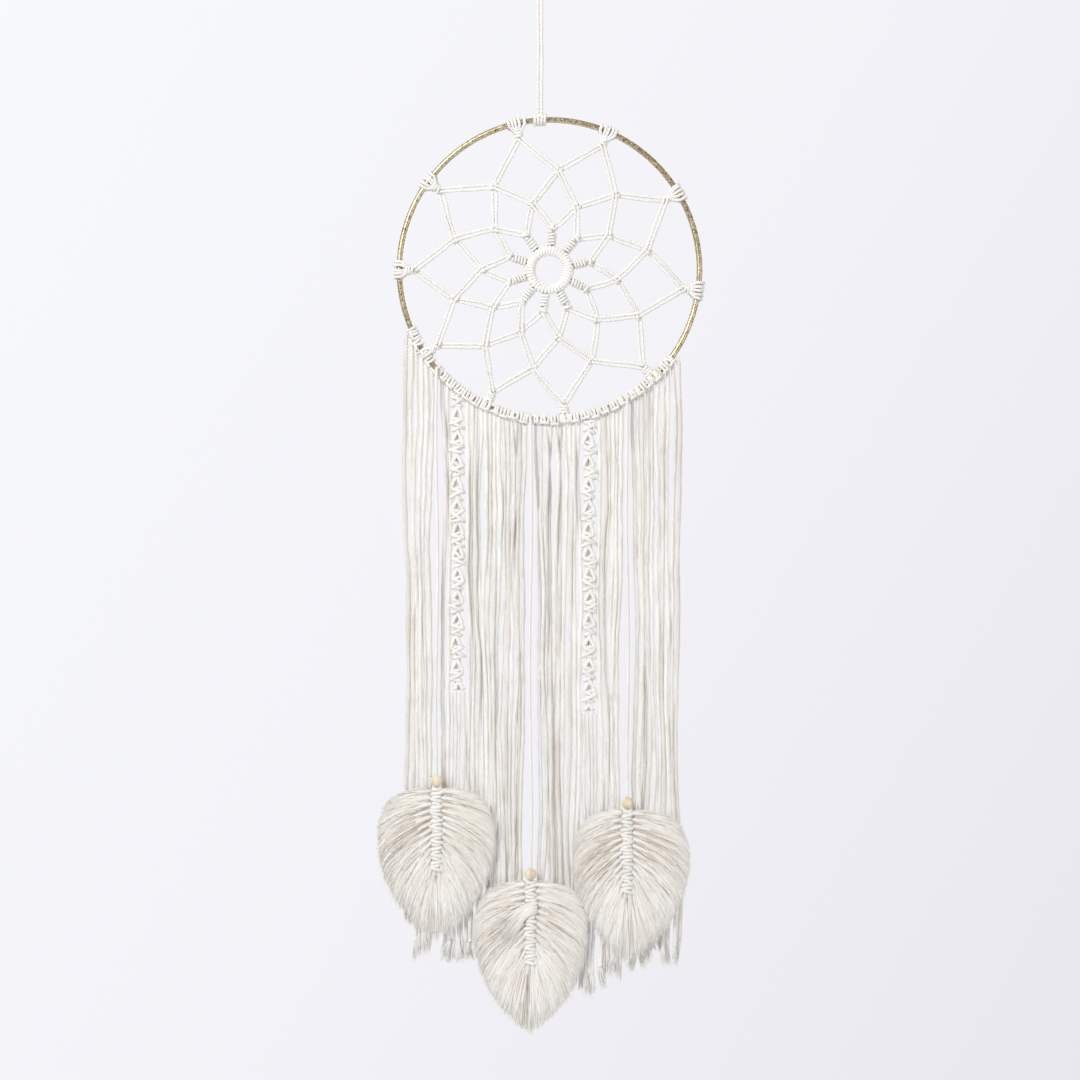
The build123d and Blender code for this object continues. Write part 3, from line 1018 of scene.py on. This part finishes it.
def fibre_lines(v, end_v, stop, way, width, height, top, share):
    """Fibres that leave the spine at depths v and end on the outline at depths end_v."""
    v, end_v = v[:, None], end_v[:, None]
    t = 0.012 + 0.988 * end_v**0.8
    edge = np.interp(t, OUTLINE_AT, OUTLINE_WIDTH)
    zero = np.zeros_like(v)
    beside = (0.5 + 2.9 * (1 - v**6)) * MM
    root = np.concatenate([way * beside, zero, -v * SPINE_SHARE * height], 1)
    end = np.concatenate([way * width * edge, zero, -t * height], 1)
    out = end - root
    bent = (v + end_v) / 2
    first = root + out * np.concatenate([zero + 0.46, zero, 0.16 + 0.22 * bent], 1)
    second = root + out * np.concatenate([zero + 0.86, zero, 0.5 + 0.2 * bent], 1)
    s = (stop[:, None] * share)[..., None]
    weights = (1 - s) ** 3, 3 * s * (1 - s) ** 2, 3 * s**2 * (1 - s), s**3
    return top + sum(w * p[:, None] for w, p in zip(weights, (root, first, second, end)))


def make_fan(side, fan, way):
    """One half of a leaf: cords tied to the spine, and combed out into fibres."""
    node = f"leaf_{side}_fan_{fan}"
    draw = random_for(node)
    low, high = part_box(node)
    spine_low, spine_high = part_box(f"leaf_{side}_spine")
    x = (spine_low.x + spine_high.x) / 2
    y = (spine_low.y + spine_high.y) / 2
    top = np.array([x, y, spine_high.z])
    height = spine_high.z - low.z
    width = (x - low.x) if way < 0 else (high.x - x)
    depth = (high.y - low.y) / 2
    # painted shade: the fan on the left of each leaf gets a darker tone than the one on the right,
    # for the shade that falls on the left halves
    side_shaded_tone = 0.36 if way < 0 else 0.48
    build = Build()

    # the closed body of the fan: a front and a back sheet, both ridged along the cords; its dark
    # tone is painted shade between the fibres
    rows, steps = 157, 14
    share = np.linspace(0, 1, steps)
    v = np.linspace(0, 1, rows)
    stop = 0.93 + 0.02 * draw.random(rows)
    sheet = fibre_lines(v, v, stop, way, width, height, top, share)
    ridge = np.abs(np.cos(math.pi * v * CLUMPS))[:, None] * (1 - share) ** 1.5
    thick = depth * (0.52 - 0.38 * share**2)[None] + 0.5 * MM * ridge
    away = np.zeros_like(sheet)
    away[..., 1] = thick
    points = np.concatenate([(sheet - away).reshape(-1, 3), (sheet + away).reshape(-1, 3)])
    index = np.arange(rows * steps).reshape(rows, steps)
    a = index[:-1, :-1].ravel()
    quads = np.stack([a, a + 1, a + steps + 1, a + steps], 1)
    under = quads[:, ::-1] + rows * steps
    # the points all the way round the edge of a sheet
    rim = np.concatenate([index[:, 0], index[-1, 1:], index[-2::-1, -1], index[0, -2:0:-1]])
    after = np.roll(rim, -1)
    walls = np.stack([rim, after, after + rows * steps, rim + rows * steps], 1)
    if way > 0:
        quads, under, walls = quads[:, ::-1], under[:, ::-1], walls[:, ::-1]
    # painted shade: the sheet is dark towards the spine and paler towards the outline
    tone = np.tile(0.12 + 0.5 * share**2, 2 * rows)
    build.add(points, np.concatenate([quads, under, walls]), tone=tone)

    # the cords, still twisted where they leave the spine
    v = (np.arange(CLUMPS) + 0.5) / CLUMPS
    stop = 0.32 + 0.16 * draw.random(CLUMPS)
    for line in fibre_lines(v, v, stop, way, width, height, top, np.linspace(0, 1, 12)):
        line = resample(line, 0.9 * MM)
        share = np.linspace(0, 1, len(line))
        arch = np.sin(math.pi * np.clip(share * 1.6, 0, 1))
        line[:, 1] -= depth * 0.62 * (1 - 0.5 * share**2) + 0.6 * MM * arch
        radius, tone = (1.4 - 0.9 * share**2) * MM, side_shaded_tone + 0.05 + 0.25 * draw.random()
        # painted shade: the cords are darker at the spine and paler further out
        rope(build, line, radius, 0.9 * MM, tone=tone + 0.2 * share, phase=6 * draw.random())

    # the fibres over it, in bunches at the spine that mix further out
    count, steps = 2200, 10
    share = np.linspace(0, 1, steps)
    clump = draw.integers(0, CLUMPS, count)
    local = draw.random(count) - 0.5
    v = np.clip((clump + 0.5 + 0.72 * local) / CLUMPS, 0, 1)
    mixed = local * 1.5 + draw.normal(0, 0.55, count)
    end_v = np.clip((clump + 0.5 + mixed) / CLUMPS, 0, 1)
    stop = 1.0 - np.abs(draw.normal(0, 0.05, count)) + 0.045 * draw.random(count) ** 2
    paths = fibre_lines(v, end_v, stop, way, width, height, top, share)
    face = np.where(draw.random(count) < 0.62, -1.0, 1.0)
    round_off = 1 - 1.7 * local**2
    lie = depth * (0.50 + 0.5 * draw.random(count))[:, None] * (1 - 0.62 * share**2)[None]
    lie = lie + (0.7 * MM * round_off)[:, None] * (1 - share[None]) ** 1.5
    lie = lie * np.clip(0.45 + 2.2 * share, 0, 1)[None]
    paths[..., 1] += face[:, None] * lie
    loose = draw.random(count) < 0.07
    stray = np.outer(draw.normal(0, 0.9 * MM, count) * np.where(loose, 3.0, 1.0), share**2.2)
    stray = stray + np.outer(draw.normal(0, 0.6 * MM, count), np.sin(math.pi * share))
    paths[..., 0] += 0.3 * way * stray
    paths[..., 2] += stray
    widths = np.outer(0.26 + 0.22 * draw.random(count), 1.0 - 0.8 * share**1.3) * MM
    bunch = draw.normal(0, 0.11 if way < 0 else 0.08, CLUMPS)[clump]
    # painted shade: fibres at the edges of a bunch are darker, and bands across the fibres (streak)
    # paint streaks of shade between them
    tones = side_shaded_tone + bunch + draw.normal(0, 0.26, count) - 0.9 * local**2
    streak = 0.10 * np.sin(9 * v + 2.0 * draw.random())
    # painted light and shade: fibres are darker at their roots by the spine, and paler towards
    # their tips and lower down, as if backlit
    low_down = np.clip((v - 0.62) / 0.38, 0, 1)
    tones = (tones + streak + 0.3 * low_down)[:, None] - 0.04 + 0.47 * (share**1.3)[None]
    add_fibres(build, paths, widths, tones)

    # fine hairs that stand off the outline
    count, steps = 420, 5
    end_v = draw.random(count)
    share = np.linspace(0.72, 1, steps)
    stop = 1.02 + 0.05 * draw.random(count)
    paths = fibre_lines(end_v, end_v, stop, way, width, height, top, share)
    run = np.linspace(0, 1, steps)
    paths[..., 1] += np.outer(draw.normal(0, 0.25 * depth, count), 1 + 0 * run)
    paths[..., 0] += np.outer(draw.normal(0, 0.9 * MM, count), run**2)
    paths[..., 2] += np.outer(draw.normal(0, 1.3 * MM, count), run**2)
    widths = np.outer(0.17 + 0.10 * draw.random(count), 1.0 - 0.7 * run) * MM
    # painted light: the hairs at the outline are paler, like the fibres' tips
    add_fibres(build, paths, widths, (side_shaded_tone + 0.4 + draw.normal(0, 0.15, count))[:, None])
    build.piece(f"leaf_{side}_cotton_{fan}", LEAF_COTTON, f"leaf_{side}", node)


def make_spine(side):
    """The knots down the middle of a leaf that hold its cotton."""
    node = f"leaf_{side}_spine"
    draw = random_for(node)
    low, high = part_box(node)
    x, y = (low.x + high.x) / 2, (low.y + high.y) / 2
    count = 12
    pitch = (high.z - low.z) / count
    build = Build()
    wide, deep = (high.x - low.x) / 2, (high.y - low.y) / 2
    for i in range(count):
        z = high.z - (i + 0.5) * pitch
        slant = (1 if i % 2 else -1) * 0.8 * MM
        for k, shift in enumerate((1.1, -1.2)):
            size = wide * (1.05 if k else 0.8) - 1.0 * MM + draw.normal(0, 0.15 * MM)
            grip = (1.0, (deep - 0.7 * MM) / size)
            place = np.array([x + draw.normal(0, 0.2 * MM), y, z + shift * MM])
            tilt = slant * (1 if k else -0.6) + draw.normal(0, 0.25 * MM)
            wrap(
                build, place, (0, 0, 1), size, tilt, grip, (1.4 if k else 1.25) * MM,
                0.3 + 0.5 * draw.random(), draw.random(), 0.8,
            )
    for way in (-1, 1):
        core = [(x + way * 1.6 * MM, y, high.z), (x + way * 1.2 * MM, y, low.z - 3 * MM)]
        rope(build, np.array(core), 2.2 * MM, tone=0.4)
    build.piece(f"leaf_{side}_knots", CORD_COTTON, f"leaf_{side}", node)


def make_bead(side):
    node = f"leaf_{side}_bead"
    low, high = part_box(node)
    centre = (np.array(low) + np.array(high)) / 2
    tall = (high.z - low.z) / 2
    bore = 1.2 * MM
    start = math.asin(bore / BEAD)
    t = np.linspace(start, math.pi - start, 33)
    profile = [(BEAD * math.sin(a), min(tall, BEAD * math.cos(a))) for a in t]
    profile += [(bore, -tall * u) for u in (0.9, 0.3, -0.3, -0.9)]
    around = 48
    k = np.arange(around) * TURN / around
    points = [
        centre + np.stack([r * np.cos(k), r * np.sin(k), np.full(around, z)], 1) for r, z in profile
    ]
    build = Build()
    quads = tube_faces(len(profile), around, True)[:, ::-1]
    build.add(np.concatenate(points), quads)
    build.piece(f"leaf_{side}_wood_bead", WOOD, node, node)


def make_leaf_cord(side):
    node = f"leaf_{side}_cord"
    draw = random_for(node)
    low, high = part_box(node)
    x, y = (low.x + high.x) / 2, (low.y + high.y) / 2
    pivot = joint_at[f"{node}_swing"]
    count = 7
    points = [(x, y, pivot[2] + 1.0 * MM)]
    for i in range(1, count):
        z = pivot[2] + (low.z - pivot[2]) * i / count
        points.append((x + 0.8 * MM * math.sin(1.3 * i + x * 40), y, z))
    points += [(x, y, low.z + 12 * MM), (x, y, low.z)]
    line = route(points)
    build = Build()
    rope(build, line, tone=0.65)
    piece = build.piece(f"leaf_{side}_long_cord", CORD_COTTON, node, node)


def make_wisp():
    """Fibres of the middle leaf that have come forward across its spine."""
    draw = random_for("wisp")
    low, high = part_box("leaf_middle_spine")
    x, front = (low.x + high.x) / 2, low.y
    count, steps = 130, 14
    share = np.linspace(0, 1, steps)
    aside, down = draw.normal(3.6, 0.5, count) * MM, (13 + 7 * draw.random(count)) * MM
    root = np.stack([x + aside, np.full(count, front + 0.4 * MM), high.z - down], 1)
    reach = (15 + 9 * draw.random(count)) * MM
    fall = (12 + 14 * draw.random(count)) * MM
    path = np.repeat(root[:, None], steps, 1)
    path[..., 0] -= reach[:, None] * share**0.9
    path[..., 2] -= np.outer(fall, share**1.7)
    path[..., 2] -= np.outer(draw.normal(0, 0.5 * MM, count), np.sin(math.pi * share))
    arch = np.sin(math.pi * share**0.5) ** 0.8
    path[..., 1] -= np.outer(1.3 + 0.5 * draw.random(count), arch) * MM
    path[..., 1] += 1.2 * MM * share**1.5
    widths = np.outer(0.30 + 0.15 * draw.random(count), 1 - 0.8 * share**1.3) * MM
    build = Build()
    add_fibres(build, path, widths, draw.normal(0.66, 0.12, count)[:, None] + 0 * share[None])
    build.piece("leaf_middle_wisp", LEAF_COTTON, "leaf_middle")


make_wisp()
for name in LEAVES:
    make_leaf_cord(name)
    make_bead(name)
    make_spine(name)
    for fan_name, fan_way in SIDES.items():
        make_fan(name, fan_name, fan_way)
